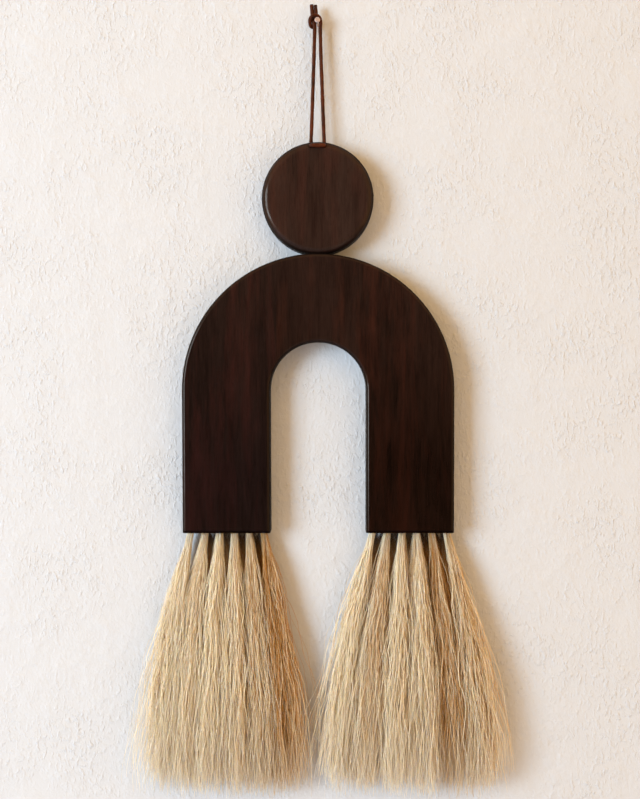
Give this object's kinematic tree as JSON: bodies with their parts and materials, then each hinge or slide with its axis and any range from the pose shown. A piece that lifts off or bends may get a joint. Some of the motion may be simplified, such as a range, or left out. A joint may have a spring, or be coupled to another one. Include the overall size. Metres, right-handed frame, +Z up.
{
  "type": "wall hanging",
  "caption": "Dark wooden disc on an inverted-U wooden arch with a fringe of pale hair tufts under each leg, hung from a nail by a knotted leather lace.",
  "frame": {"origin": "where the nail's axis meets the wall", "axes": "+Z up, +X to the viewer's right, +Y into the wall; the front faces -Y"},
  "size_m": [0.3264, 0.0513, 0.6984],
  "materials": {
    "dark_wood": "dark stain under satin lacquer, straight upright grain",
    "dowel_wood": "raw",
    "leather": "round waxed lace",
    "hair": "combed natural hair",
    "hair_root": "bound and glued hair",
    "nail_metal": "nickel plated"
  },
  "bodies": {
    "nail": {"wall_nail": "nail_metal"},
    "hanging": {"head_disc": "dark_wood", "neck_dowel": "dowel_wood", "crown_block": "dark_wood", "left_stave": "dark_wood", "right_stave": "dark_wood", "lace_loop": "leather", "lace_knot": "leather", "lace_tail_left": "leather", "lace_tail_right": "leather", "root_l1": "hair_root", "root_l2": "hair_root", "root_l3": "hair_root", "root_l4": "hair_root", "root_l5": "hair_root", "root_l6": "hair_root", "root_r1": "hair_root", "root_r2": "hair_root", "root_r3": "hair_root", "root_r4": "hair_root", "root_r5": "hair_root", "root_r6": "hair_root"},
    "tuft_l1": {"tuft_l1": "hair"},
    "tuft_l2": {"tuft_l2": "hair"},
    "tuft_l3": {"tuft_l3": "hair"},
    "tuft_l4": {"tuft_l4": "hair"},
    "tuft_l5": {"tuft_l5": "hair"},
    "tuft_l6": {"tuft_l6": "hair"},
    "tuft_r1": {"tuft_r1": "hair"},
    "tuft_r2": {"tuft_r2": "hair"},
    "tuft_r3": {"tuft_r3": "hair"},
    "tuft_r4": {"tuft_r4": "hair"},
    "tuft_r5": {"tuft_r5": "hair"},
    "tuft_r6": {"tuft_r6": "hair"}
  },
  "joints": [
    {"name": "hang_swing", "type": "hinge", "parent": "nail", "child": "hanging", "pos_m": [0, 0, 0], "axis": [0, 1, 0], "range_deg": [-30, 30]},
    {"name": "tuft_l1_sway", "type": "hinge", "parent": "hanging", "child": "tuft_l1", "pos_m": [-0.05, -0.011, -0.46109], "axis": [-1, 0, 0], "range_deg": [0, 40]},
    {"name": "tuft_l2_sway", "type": "hinge", "parent": "hanging", "child": "tuft_l2", "pos_m": [-0.063, -0.011, -0.46109], "axis": [-1, 0, 0], "range_deg": [0, 40]},
    {"name": "tuft_l3_sway", "type": "hinge", "parent": "hanging", "child": "tuft_l3", "pos_m": [-0.076, -0.011, -0.46109], "axis": [-1, 0, 0], "range_deg": [0, 40]},
    {"name": "tuft_l4_sway", "type": "hinge", "parent": "hanging", "child": "tuft_l4", "pos_m": [-0.089, -0.011, -0.46109], "axis": [-1, 0, 0], "range_deg": [0, 40]},
    {"name": "tuft_l5_sway", "type": "hinge", "parent": "hanging", "child": "tuft_l5", "pos_m": [-0.102, -0.011, -0.46109], "axis": [-1, 0, 0], "range_deg": [0, 40]},
    {"name": "tuft_l6_sway", "type": "hinge", "parent": "hanging", "child": "tuft_l6", "pos_m": [-0.115, -0.011, -0.46109], "axis": [-1, 0, 0], "range_deg": [0, 40]},
    {"name": "tuft_r1_sway", "type": "hinge", "parent": "hanging", "child": "tuft_r1", "pos_m": [0.05, -0.011, -0.46109], "axis": [-1, 0, 0], "range_deg": [0, 40]},
    {"name": "tuft_r2_sway", "type": "hinge", "parent": "hanging", "child": "tuft_r2", "pos_m": [0.063, -0.011, -0.46109], "axis": [-1, 0, 0], "range_deg": [0, 40]},
    {"name": "tuft_r3_sway", "type": "hinge", "parent": "hanging", "child": "tuft_r3", "pos_m": [0.076, -0.011, -0.46109], "axis": [-1, 0, 0], "range_deg": [0, 40]},
    {"name": "tuft_r4_sway", "type": "hinge", "parent": "hanging", "child": "tuft_r4", "pos_m": [0.089, -0.011, -0.46109], "axis": [-1, 0, 0], "range_deg": [0, 40]},
    {"name": "tuft_r5_sway", "type": "hinge", "parent": "hanging", "child": "tuft_r5", "pos_m": [0.102, -0.011, -0.46109], "axis": [-1, 0, 0], "range_deg": [0, 40]},
    {"name": "tuft_r6_sway", "type": "hinge", "parent": "hanging", "child": "tuft_r6", "pos_m": [0.115, -0.011, -0.46109], "axis": [-1, 0, 0], "range_deg": [0, 40]}
  ]
}
